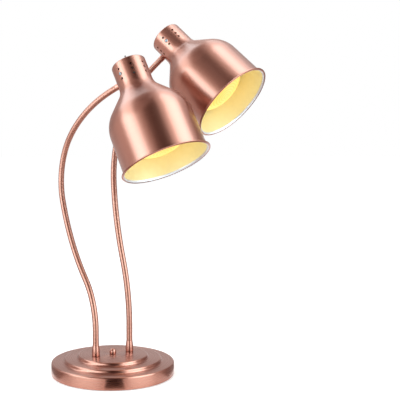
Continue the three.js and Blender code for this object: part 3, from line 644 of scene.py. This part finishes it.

# %% [markdown]
# ## Shades
#
# Each shade is spun from one disc of aluminium: a closed neck, an S-shaped flare, a nearly straight
# wall and a rolled lip. The copper goes round the lip's bead and a little way in. Past it the lip
# is bare. The wall's inside is painted pale yellow, a painted glow of the bulb's light, and the
# neck's inside is painted near black, a painted shade. The vents are drilled after spinning, so
# here too they are cut from the finished shell, in columns made by Geometry Nodes, and their walls
# are painted dark as painted shade.

# %% Shade shell
NECK_LENGTH, NECK_ROUNDING = 45.0, 4.0
FLARE_LENGTH, FLARE_HOLLOW_SHARE, FLARE_TURN_SHARE = 88.0, 0.34, 0.46
SHADE_RADIUS, SHADE_RIM_RADIUS, SHADE_LENGTH, SHADE_WALL = 80.9, 81.7, 212.6, 1.2
LIP_RADIUS, LIP_CURVE, LIP_BEAD, LIP_END = 87.0, 4.0, 1.3, 105  # LIP_END is an angle on its curve
SHADE_SEGMENTS = 128
ARC_STEPS, BEAD_STEPS = 8, 6
PLATED_STEPS = 3  # the plating goes round the bead and over this much of the lip's inner side


def shade_profile(inset):
    return ([(0.0, inset)]
            + arc((NECK_RADIUS - NECK_ROUNDING, NECK_ROUNDING), NECK_ROUNDING - inset, -90, 0,
                  ARC_STEPS)
            + flare(NECK_RADIUS, SHADE_RADIUS, NECK_LENGTH, FLARE_LENGTH, FLARE_HOLLOW_SHARE,
                    FLARE_TURN_SHARE, inset, 2 * ARC_STEPS)
            + arc((SHADE_RIM_RADIUS + LIP_CURVE, SHADE_LENGTH - LIP_CURVE), LIP_CURVE + inset,
                  180, LIP_END, ARC_STEPS))


outside = shade_profile(0)
bead = arc((LIP_RADIUS - LIP_BEAD, SHADE_LENGTH - LIP_BEAD), LIP_BEAD, -90, 90, BEAD_STEPS)
inside = shade_profile(SHADE_WALL)[::-1]
plating_end = len(outside) + BEAD_STEPS + PLATED_STEPS
lip_end = len(outside) + len(bead) + ARC_STEPS
# The neck's inside: its rounding's points, the axis, and the flare's last point before them
neck_start = len(outside) + len(bead) + len(inside) - (ARC_STEPS + 1) - 2
SHELL_FINISHES = [shade_copper, aluminium, lining_painted_glow, neck_inside_painted_shade, vent_wall_painted_shade]
shell_mesh = turn_profile(outside + bead + inside, SHADE_SEGMENTS,
                          slot_starts=[plating_end, lip_end, neck_start])

# %% Vent node tree
VENT_COLUMNS, VENT_ROWS, VENT_DEPTH, VENT_PITCH, VENT_RADIUS = 8, 3, 16.0, 10.0, 2.0
VENT_TURN = pi / 16  # of the columns away from the arm
VENT_SIZES = {"Hole radius": VENT_RADIUS * MM, "Row pitch": VENT_PITCH * MM,
              "First row": VENT_DEPTH * MM, "Neck radius": NECK_RADIUS * MM}
DRILL_REACH, DRILL_TAPER = 3.0, 0.35  # how far a drill goes past the surface, and its slope
DRILL_SIDES = 16


def vent_tree():
    """Cuts columns and rows of round holes through the neck. Every hole is a rod on the radius."""
    tree, source, result, identifiers = geometry_tree("vent_holes", VENT_SIZES)
    # The drill's tip is tapered, so the burr is off and a hole is a little wider outside
    narrow, wide = (add_node(tree, "ShaderNodeMath", source.outputs["Hole radius"],
                             reach * DRILL_TAPER * MM, operation="ADD")
                    for reach in (SHADE_WALL - DRILL_REACH, SHADE_WALL + DRILL_REACH))
    rod = add_node(tree, "GeometryNodeMeshCone", Radius_Bottom=narrow, Radius_Top=wide,
                   Vertices=DRILL_SIDES, Depth=2 * DRILL_REACH * MM)
    laid = add_node(tree, "GeometryNodeTransform", rod, Translation=(-DRILL_REACH * MM, 0, 0),
                    Rotation=(0, pi / 2, 0))
    # A line of points, bent into rings by its index. The arm takes the place of the first column
    points = add_node(tree, "GeometryNodeMeshLine", Count=(VENT_COLUMNS - 1) * VENT_ROWS)
    index = add_node(tree, "GeometryNodeInputIndex")
    row = add_node(tree, "ShaderNodeMath", index, VENT_ROWS, operation="MODULO")
    depth = add_node(tree, "ShaderNodeMath", row, source.outputs["Row pitch"],
                     source.outputs["First row"], operation="MULTIPLY_ADD")
    rings = add_node(tree, "ShaderNodeMath", index, VENT_ROWS, operation="DIVIDE")
    column = add_node(tree, "ShaderNodeMath", rings, operation="FLOOR")
    column_angle = 2 * pi / VENT_COLUMNS
    angle = add_node(tree, "ShaderNodeMath", column, column_angle, column_angle + VENT_TURN,
                     operation="MULTIPLY_ADD")
    cosine = add_node(tree, "ShaderNodeMath", angle, operation="COSINE")
    sine = add_node(tree, "ShaderNodeMath", angle, operation="SINE")
    x, y = (add_node(tree, "ShaderNodeMath", share, source.outputs["Neck radius"],
                     operation="MULTIPLY") for share in (cosine, sine))
    place = add_node(tree, "ShaderNodeCombineXYZ", x, y, depth)
    ring = add_node(tree, "GeometryNodeSetPosition", points, Position=place)
    turn = add_node(tree, "ShaderNodeCombineXYZ", Z=angle)
    rods = add_node(tree, "GeometryNodeInstanceOnPoints", ring, Instance=laid, Rotation=turn)
    cutters = add_node(tree, "GeometryNodeRealizeInstances", rods)
    drilled = add_node(tree, "GeometryNodeMeshBoolean", operation="DIFFERENCE", solver="EXACT",
                       Mesh_1=source, Mesh_2=cutters)
    real = add_node(tree, "GeometryNodeRealizeInstances", drilled)
    # What has none of the shell's own finishes is the wall of a drilled hole
    chosen = None
    for material in SHELL_FINISHES[:-1]:
        found = add_node(tree, "GeometryNodeMaterialSelection", Material=material)
        chosen = found if chosen is None else add_node(tree, "FunctionNodeBooleanMath",
                                                       chosen, found, operation="OR")
    cut = add_node(tree, "FunctionNodeBooleanMath", chosen, operation="NOT")
    # The walls of the holes get the near-black finish, a painted shade
    finish = add_node(tree, "GeometryNodeSetMaterial", real, Selection=cut, Material=vent_wall_painted_shade)
    fill_socket(tree, result.inputs["Geometry"], finish)
    return tree, identifiers


# %% Drill and place the shades
drill_tree, DRILL_INPUTS = vent_tree()
for finish in SHELL_FINISHES[:-1]:
    shell_mesh.materials.append(finish)
shell = add_object("shell", shell_mesh)
modifier = shell.modifiers.new("vents", "NODES")
modifier.node_group = drill_tree
for label, size in VENT_SIZES.items():
    modifier[DRILL_INPUTS[label]] = size
drilled_mesh = evaluated_mesh(shell, "drilled_shell")
print("shade", len(drilled_mesh.polygons), "faces", [m.name for m in drilled_mesh.materials if m])
for side, matrix in HEADS.items():
    piece(f"{side}_shade_spun", drilled_mesh, f"{side}_head", [f"{side}_shade"],
          list(drilled_mesh.materials), matrix)

# %% [markdown]
# ## Fittings of the head
#
# A turned collar holds the gooseneck against the neck, two round-head screws hold the bracket
# inside, and the threaded stud of the lampholder stands out of the neck's flat top through its nut.

# %% Collar, screws, stud and nut
COLLAR_RADIUS, COLLAR_ROUNDING, COLLAR_EDGE, FITTING_SHANK = 6.3, 1.0, 0.3, 8.5
SCREW_RADIUS, SCREW_LENGTH, SCREW_HEAD_RADIUS, SCREW_HEAD_HEIGHT = 2.0, 8.0, 3.5, 2.0
SCREW_SEGMENTS, SCREW_DOME_STEPS = 32, 8
RECESS_LENGTH, RECESS_WIDTH, RECESS_DEPTH = 4.2, 0.9, 2.4  # of the cutter, half of it in the air
STUD_RADIUS, STUD_TIP, STUD_END, STUD_SEGMENTS = 1.6, 17.0, 21.1, 24
STUD_HEAD_RADIUS, STUD_HEAD_HEIGHT = 3.2, 1.2
THREAD_PITCH, THREAD_DEPTH = 0.7, 0.3
TOP_NUT_RADIUS, TOP_NUT_THICKNESS = 4.0, 3.2
CHAMFER_WIDTH, CHAMFER_HEIGHT = 0.5, 0.4
PRISM_SPARE = 2.0  # how much longer than the nut its cutter is

collar_low, collar_high = NECK_RADIUS + SEAT, NECK_RADIUS + COLLAR_LENGTH
collar_mesh = turn_profile(
    [(WIRE_BORE, NECK_RADIUS - FITTING_SHANK), (THREAD_RADIUS, NECK_RADIUS - FITTING_SHANK),
     (THREAD_RADIUS, collar_low)]
    + arc((COLLAR_RADIUS - COLLAR_EDGE, collar_low + COLLAR_EDGE), COLLAR_EDGE, -90, 0, EDGE_STEPS)
    + arc((COLLAR_RADIUS - COLLAR_ROUNDING, collar_high - COLLAR_ROUNDING), COLLAR_ROUNDING,
          0, 90, 2 * EDGE_STEPS)
    + [(WIRE_BORE, collar_high)], FITTING_SEGMENTS)
collar_mesh.transform(Matrix.Translation((0, 0, ARM_ENTRY_DEPTH * MM))
                      @ Matrix.Rotation(pi / 2, 4, "Y"))


def boolean_mesh(name, mesh, cutters, operation):
    """What a Boolean of a mesh with each of the cutters leaves."""
    obj = add_object(name, mesh)
    tools = [add_object("cutter", cutter) for cutter in cutters]
    for tool in tools:
        cut = obj.modifiers.new("cut", "BOOLEAN")
        cut.operation = operation
        cut.object = tool
    result = evaluated_mesh(obj, name)
    for tool in tools:
        bpy.data.objects.remove(tool)
    return result


def cutter_mesh(make, **sizes):
    """A closed mesh from one of bmesh's own forms."""
    bm = bmesh.new()
    make(bm, **sizes)
    return finished_mesh(bm, "cutter")


def round_head_screw():
    """A round-head screw along Z with a cross recess, its seat at the neck's wall."""
    seat = NECK_RADIUS + SEAT
    top = seat + SCREW_HEAD_HEIGHT
    dome_radius = (SCREW_HEAD_RADIUS ** 2 + SCREW_HEAD_HEIGHT ** 2) / (2 * SCREW_HEAD_HEIGHT)
    rise = degrees(asin(SCREW_HEAD_RADIUS / dome_radius))
    dome = arc((0, top - dome_radius), dome_radius, 90 - rise, 90, SCREW_DOME_STEPS)
    body = turn_profile([(0, seat - SCREW_LENGTH), (SCREW_RADIUS, seat - SCREW_LENGTH),
                         (SCREW_RADIUS, seat)] + dome[:-1] + [(0, top)],
                        SCREW_SEGMENTS, closed=False)
    size = Matrix.Diagonal((RECESS_LENGTH * MM, RECESS_WIDTH * MM, RECESS_DEPTH * MM, 1))
    slots = []
    for turn in (0, pi / 2):
        slot = cutter_mesh(bmesh.ops.create_cube, size=1.0)
        slot.transform(Matrix.Translation((0, 0, top * MM)) @ Matrix.Rotation(turn, 4, "Z") @ size)
        slots.append(slot)
    return boolean_mesh("round_head_screw", body, slots, "DIFFERENCE")


def threaded_stud():
    """The stud: a crest and a root for each turn of thread, a plain shank and its head inside."""
    points = [(0, -STUD_TIP), (STUD_RADIUS - THREAD_DEPTH, -STUD_TIP)]
    z = -STUD_TIP + THREAD_DEPTH
    while z < -TOP_NUT_THICKNESS - SEAT - THREAD_PITCH:
        points += [(STUD_RADIUS, z), (STUD_RADIUS - THREAD_DEPTH, z + THREAD_PITCH / 2)]
        z += THREAD_PITCH
    head_end = STUD_END + STUD_HEAD_HEIGHT
    points += [(STUD_RADIUS, z), (STUD_RADIUS, STUD_END), (STUD_HEAD_RADIUS, STUD_END),
               (STUD_HEAD_RADIUS, head_end), (0, head_end)]
    return turn_profile(points, STUD_SEGMENTS, closed=False)


def hex_nut(corner_radius, bore_radius, low, high):
    """A hexagon nut with chamfered corners, cut from a turned blank."""
    blank = turn_profile([(bore_radius, low), (corner_radius - CHAMFER_WIDTH, low),
                          (corner_radius, low + CHAMFER_HEIGHT),
                          (corner_radius, high - CHAMFER_HEIGHT),
                          (corner_radius - CHAMFER_WIDTH, high), (bore_radius, high)],
                         FITTING_SEGMENTS)
    prism = cutter_mesh(bmesh.ops.create_cone, cap_ends=True, segments=6,
                        radius1=corner_radius * MM, radius2=corner_radius * MM,
                        depth=(high - low + PRISM_SPARE) * MM)
    prism.transform(Matrix.Translation((0, 0, (low + high) / 2 * MM)))
    return boolean_mesh("hex_nut", blank, [prism], "INTERSECT")


screw_mesh = round_head_screw()
stud_mesh = threaded_stud()
top_nut_mesh = hex_nut(TOP_NUT_RADIUS, STUD_RADIUS + SEAT, -TOP_NUT_THICKNESS - SEAT, -SEAT)
screw_depth = Matrix.Translation((0, 0, (VENT_DEPTH + VENT_PITCH) * MM))
for side, matrix in HEADS.items():
    body = f"{side}_head"
    piece(f"{side}_collar_turned", collar_mesh, body, [f"{side}_arm_collar"],
          [fitting_copper], matrix)
    piece(f"{side}_stud_threaded", stud_mesh, body, [f"{side}_top_stud"],
          [zinc], matrix)
    piece(f"{side}_stud_nut", top_nut_mesh, body, [f"{side}_top_nut"],
          [zinc], matrix)
    for where, quarter in (("near", 1), ("far", -1)):
        turn = Matrix.Rotation(VENT_TURN, 4, "Z") @ Matrix.Rotation(quarter * pi / 2, 4, "X")
        piece(f"{side}_side_screw_{where}", screw_mesh, body, [f"{side}_neck_screw_{where}"],
              [zinc], matrix @ screw_depth @ turn)

# %% [markdown]
# ## Bulbs
#
# A reflector bulb is blown in one piece: a frosted dome over the mouth, a silvered cone behind it
# and a neck that goes into the cap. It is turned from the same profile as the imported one.

# %% Bulbs
BULB_BACK, BULB_RADIUS, BULB_LENGTH = 27.1, 62.5, 165.0
BULB_DOME, BULB_CONE, BULB_HOLLOW_SHARE, BULB_TURN_SHARE = 38.0, 70.0, 0.2, 0.85
BULB_NECK_RADIUS, BULB_NECK_LENGTH = 19.0, 20.0
CAP_MOUTH, SPIGOT_RADIUS, SPIGOT_REACH = 58.1, 11.7, 6.0
BULB_SEGMENTS, CONE_STEPS, DOME_STEP = 96, 12, 3  # DOME_STEP is in degrees
BULB_SHARP = 50

widest = BULB_BACK + BULB_LENGTH - BULB_DOME
cone_end = widest - BULB_CONE
spigot = [(0, CAP_MOUTH - SPIGOT_REACH), (SPIGOT_RADIUS, CAP_MOUTH - SPIGOT_REACH),
          (SPIGOT_RADIUS, CAP_MOUTH + SEAT), (BULB_NECK_RADIUS, cone_end - BULB_NECK_LENGTH)]
cone = flare(BULB_NECK_RADIUS, BULB_RADIUS, cone_end, BULB_CONE, BULB_HOLLOW_SHARE,
             BULB_TURN_SHARE, 0, CONE_STEPS)
dome = [(BULB_RADIUS * cos(radians(a)), widest + BULB_DOME * sin(radians(a)))
        for a in range(DOME_STEP, 90, DOME_STEP)]
face_start = len(spigot) + len(cone) - 1
bulb_mesh = turn_profile(spigot + cone + dome + [(0, widest + BULB_DOME)], BULB_SEGMENTS,
                         closed=False, slot_starts=[face_start])
for side, matrix in HEADS.items():
    piece(f"{side}_bulb_blown", bulb_mesh, f"{side}_bulb", [f"{side}_bulb_glass"],
          [silvered, lit_face], matrix, sharp=BULB_SHARP)

# %% [markdown]
# ## Carried-over pieces
#
# Pieces that are hidden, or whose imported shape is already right, only get their finish.

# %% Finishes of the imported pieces
CARRIED = {
    zinc: ["bottom_plate", "tie_bolt", "spacer_sleeve"] + [f"plate_screw_{i}" for i in range(1, 5)],
    # The brackets' dark grey is partly painted shade, seen through the vents
    bracket_painted_shade: ["front_holder_bracket", "rear_holder_bracket"],
    iron: ["ballast_weight"],
    rubber: ["foot_pad", "inlet_grommet"],
    polyamide: ["terminal_block"],
    porcelain: ["front_lampholder", "rear_lampholder"],
    vitrite: ["front_bulb_pip", "rear_bulb_pip"],
    brass: [f"{side}_{part}" for side in SIDES
            for part in ("foot_nut", "arm_nut", "screw_shell", "centre_contact", "bulb_cap")],
}
for finish, names in CARRIED.items():
    for name in names:
        node = frame["nodes"][name]
        node.data.materials.clear()
        node.data.materials.append(finish)

# %% [markdown]
# ## Studio
#
# The floor and the surround are pale, and three soft boxes light the metal at a plain level.
# Polished metal shows only what stands round it, though, so the bands on the shades are made as in
# a product studio: white cards give the bright bands, and black cards give the dark ones between.
# The cards are curved, and only reflections see them.

# %% Floor, world and lights
WHITE = (1.0, 1.0, 1.0, 1.0)
FLOOR_HALF, FLOOR_DROP = 30.0, 0.0002
FLOOR_LIFT = 0.37  # light that the lit floor lacks to match the white behind it
SURROUND_LIGHT = 0.7


def seen_directly(tree, *ray_kinds):
    """1 for the camera's rays and these kinds, and 0 for the rays that light a surface."""
    path = add_node(tree, "ShaderNodeLightPath")
    seen = path.outputs["Is Camera Ray"]
    for kind in ray_kinds:
        seen = add_node(tree, "ShaderNodeMath", seen, path.outputs[kind], operation="MAXIMUM")
    return seen


floor_mesh = bpy.data.meshes.new("floor")
floor_mesh.from_pydata([(x * FLOOR_HALF, y * FLOOR_HALF, 0)
                        for x, y in ((-1, -1), (1, -1), (1, 1), (-1, 1))], [], [(0, 1, 2, 3)])
floor = add_object("floor", floor_mesh)
floor.location.z = -FLOOR_DROP
# Matt white paper: no highlight, and only a faint shadow under the base
floor_material, tree = new_material("floor_paper_white")
lift = add_node(tree, "ShaderNodeMath", seen_directly(tree, "Is Glossy Ray"), FLOOR_LIFT,
                operation="MULTIPLY")
paper = add_node(tree, "ShaderNodeBsdfPrincipled", Base_Color=srgb("#f8f8f8"), Roughness=0.9,
                 Specular_IOR_Level=0.0, Emission_Color=WHITE, Emission_Strength=lift)
add_node(tree, "ShaderNodeOutputMaterial", paper)
floor_mesh.materials.append(floor_material)

bpy.context.scene.view_settings.view_transform = "Standard"
world = bpy.data.worlds.new("studio")
bpy.context.scene.world = world
world.use_nodes = True
sky = world.node_tree
sky.nodes.clear()
lighting = add_node(sky, "ShaderNodeBackground", Color=WHITE, Strength=SURROUND_LIGHT)
shown = add_node(sky, "ShaderNodeBackground", Color=WHITE, Strength=1.0)
mixed = add_node(sky, "ShaderNodeMixShader",
                 seen_directly(sky, "Is Glossy Ray", "Is Transmission Ray"), lighting, shown)
add_node(sky, "ShaderNodeOutputWorld", mixed)


def soft_box(name, place, target, width, height, power):
    """An oblong light that faces `target`. Lengths are in metres and power in watts."""
    light = bpy.data.lights.new(name, "AREA")
    light.shape = "RECTANGLE"
    light.size, light.size_y = width, height
    light.energy = power
    obj = add_object(name, light)
    obj.location = place
    obj.rotation_euler = (Vector(target) - Vector(place)).to_track_quat("-Z", "Y").to_euler()
    obj.visible_glossy = False  # the cards below take its place in reflections


soft_box("box_left", (-1.45, -1.05, 1.35), (0.05, 0.05, 0.45), 0.5, 2.6, 22)
soft_box("box_right", (1.5, -0.85, 1.35), (0.05, 0.05, 0.45), 0.5, 2.6, 12)
soft_box("box_top", (0.0, 0.1, 2.4), (0.05, 0.0, 0.2), 1.0, 0.6, 8)

# %% Cards that the copper mirrors
CARD_MIDDLE = Vector((0.05, 0.05, 0.4))
CARD_DISTANCE = 2.5
CARD_COLUMNS, CARD_STEPS = 12, 4
FLOOR_CARD_NEAR, FLOOR_CARD_FAR, FLOOR_CARD_HEIGHT = 0.13, 1.0, 0.5 * MM
CARD_WARMTH, CARD_COOLNESS = 0.8, 1.06  # the powers of a card's level in red and in blue
EDGE_FALL = 0.5  # below 1, a card stays bright until close to its sides


def outward(azimuth):
    """A level direction: azimuth 0 is the camera's side and 90 the right, in degrees."""
    around = radians(azimuth)
    return Vector((sin(around), -cos(around), 0))


def card_light(level):
    """The light of a card in linear RGB. Bright cards are cool and dim ones warm, so that on
    copper a highlight turns nearly white while the shadows stay brown."""
    return (level ** CARD_WARMTH, level, level ** CARD_COOLNESS, 1.0)


def studio_card(name, rows, level, edge_level=None):
    """A card made of rows of points, whose light may fall to `edge_level` at its two sides, as a
    soft box's does. Only reflections see it."""
    width = len(rows[0])
    faces = [(r * width + c, r * width + c + 1, (r + 1) * width + c + 1, (r + 1) * width + c)
             for r in range(len(rows) - 1) for c in range(width - 1)]
    mesh = bpy.data.meshes.new(name)
    mesh.from_pydata([point for row in rows for point in row], [], faces)
    across = mesh.uv_layers.new(name="across")
    for loop in mesh.loops:
        across.uv[loop.index].vector = (loop.vertex_index % width / (width - 1), 0)
    # A lit board: it gives off light and takes none, so it has no highlight of its own
    material, tree = new_material(name + "_board")
    place = add_node(tree, "ShaderNodeUVMap", uv_map="across")
    side_to_side = add_node(tree, "ShaderNodeSeparateXYZ", place)
    half_turn = add_node(tree, "ShaderNodeMath", side_to_side, pi, operation="MULTIPLY")
    hump = add_node(tree, "ShaderNodeMath", half_turn, operation="SINE")
    flatter = add_node(tree, "ShaderNodeMath", hump, EDGE_FALL, operation="POWER")
    light = add_node(tree, "ShaderNodeMix", flatter, card_light(edge_level or level),
                     card_light(level), data_type="RGBA")
    board = add_node(tree, "ShaderNodeBsdfPrincipled", Base_Color=(0, 0, 0, 1), Roughness=1.0,
                     Specular_IOR_Level=0.0, Emission_Color=light, Emission_Strength=1.0)
    add_node(tree, "ShaderNodeOutputMaterial", board)
    mesh.materials.append(material)
    card = add_object(name, mesh)
    card.visible_camera = False
    card.visible_diffuse = False
    card.visible_transmission = False
    card.visible_shadow = False


def between(start, end, share):
    return [a + (b - a) * share for a, b in zip(start, end)]


def curved_card(name, level, left_edge, right_edge, edge_level=None):
    """A card on a ball round the lamp. Each edge lists azimuth and elevation, from the foot up."""
    rows = []
    for step in range((len(left_edge) - 1) * CARD_STEPS + 1):
        low = min(step // CARD_STEPS, len(left_edge) - 2)
        left, right = (between(edge[low], edge[low + 1], step / CARD_STEPS - low)
                       for edge in (left_edge, right_edge))
        row = []
        for column in range(CARD_COLUMNS + 1):
            azimuth, elevation = between(left, right, column / CARD_COLUMNS)
            direction = outward(azimuth) * cos(radians(elevation))
            direction.z = sin(radians(elevation))
            row.append(CARD_MIDDLE + CARD_DISTANCE * direction)
        rows.append(row)
    studio_card(name, rows, level, edge_level)


def floor_card(name, level, from_azimuth, to_azimuth, edge_level=None):
    """A card on the floor round the base, which the base's outer wall mirrors."""
    directions = [outward(from_azimuth + (to_azimuth - from_azimuth) * column / CARD_COLUMNS)
                  for column in range(CARD_COLUMNS + 1)]
    rows = [[direction * reach + Vector((0, 0, FLOOR_CARD_HEIGHT)) for direction in directions]
            for reach in (FLOOR_CARD_NEAR, FLOOR_CARD_FAR)]
    studio_card(name, rows, level, edge_level)


CARDS = [  # name, level, left edge, right edge, and for a bright card the level at its sides
    # In front: the dark band down each shade, and over it towards the neck
    ("dark_front", 0.04, [(-11, -9), (-12, 8), (-21, 22), (-26, 36), (-20, 50), (-18, 62)],
     [(20, -9), (21, 8), (30, 22), (28, 36), (21, 50), (14, 62)]),
    ("dark_above", 0.1, [(-14, 62), (-16, 84)], [(14, 62), (18, 84)]),
    ("brown_left", 0.55, [(-46, 25), (-60, 34), (-68, 46), (-90, 56), (-170, 63)],
     [(-25, 25), (-25, 36), (-20, 50), (-18, 62), (-20, 74)]),
    ("grey_above", 0.24, [(-170, 63), (-172, 70), (-175, 82)], [(-90, 57), (-18, 70), (-30, 82)]),
    # Right and left: the bright bands
    ("bright_right", 5.4, [(27, -9), (28, 15), (37, 35), (44, 48)],
     [(75, -9), (86, 15), (100, 35), (108, 48)], 2.2),
    ("bright_right_above", 5.0, [(44, 48), (44, 62), (54, 78)],
     [(112, 48), (128, 62), (140, 78)], 2.4),
    ("mid_right", 2.0, [(108, 45), (112, 54), (128, 62), (140, 76)],
     [(176, 45), (176, 54), (176, 62), (176, 76)]),
    ("bright_left", 5.8, [(-68, -9), (-80, 0), (-90, 15), (-102, 28)],
     [(-17, -9), (-18, 0), (-30, 15), (-47, 26)], 2.0),
    ("bright_left_above", 3.0, [(-168, 32), (-168, 61)], [(-50, 28), (-70, 46)], 2.4),
    # Behind: the brown that the shades turn to at their sides
    ("grey_left", 0.9, [(-118, -9), (-118, 30)], [(-72, -9), (-92, 27)]),
    ("grey_far_left", 0.5, [(-165, -9), (-165, 30)], [(-118, -9), (-118, 30)]),
    ("grey_right", 0.75, [(77, -9), (96, 32)], [(112, -9), (112, 32)]),
    ("grey_far_right", 0.3, [(112, -9), (112, 32)], [(150, -9), (150, 32)]),
    ("grey_behind", 0.6, [(150, -9), (150, 32), (150, 44)], [(195, -9), (195, 32), (195, 44)]),
]
FLOOR_CARDS = [  # name, level, first and last azimuth, and for a bright card the level at its sides
    ("front", 0.02, -6, 15),
    ("left", 1.5, -60, -8, 1.0),
    ("right", 1.7, 17, 68, 1.0),
    ("far_left", 0.26, -160, -63),
    ("far_right", 0.26, 72, 150),
]
for name, *shape in CARDS:
    curved_card("card_" + name, *shape)
for name, *shape in FLOOR_CARDS:
    floor_card("card_floor_" + name, *shape)
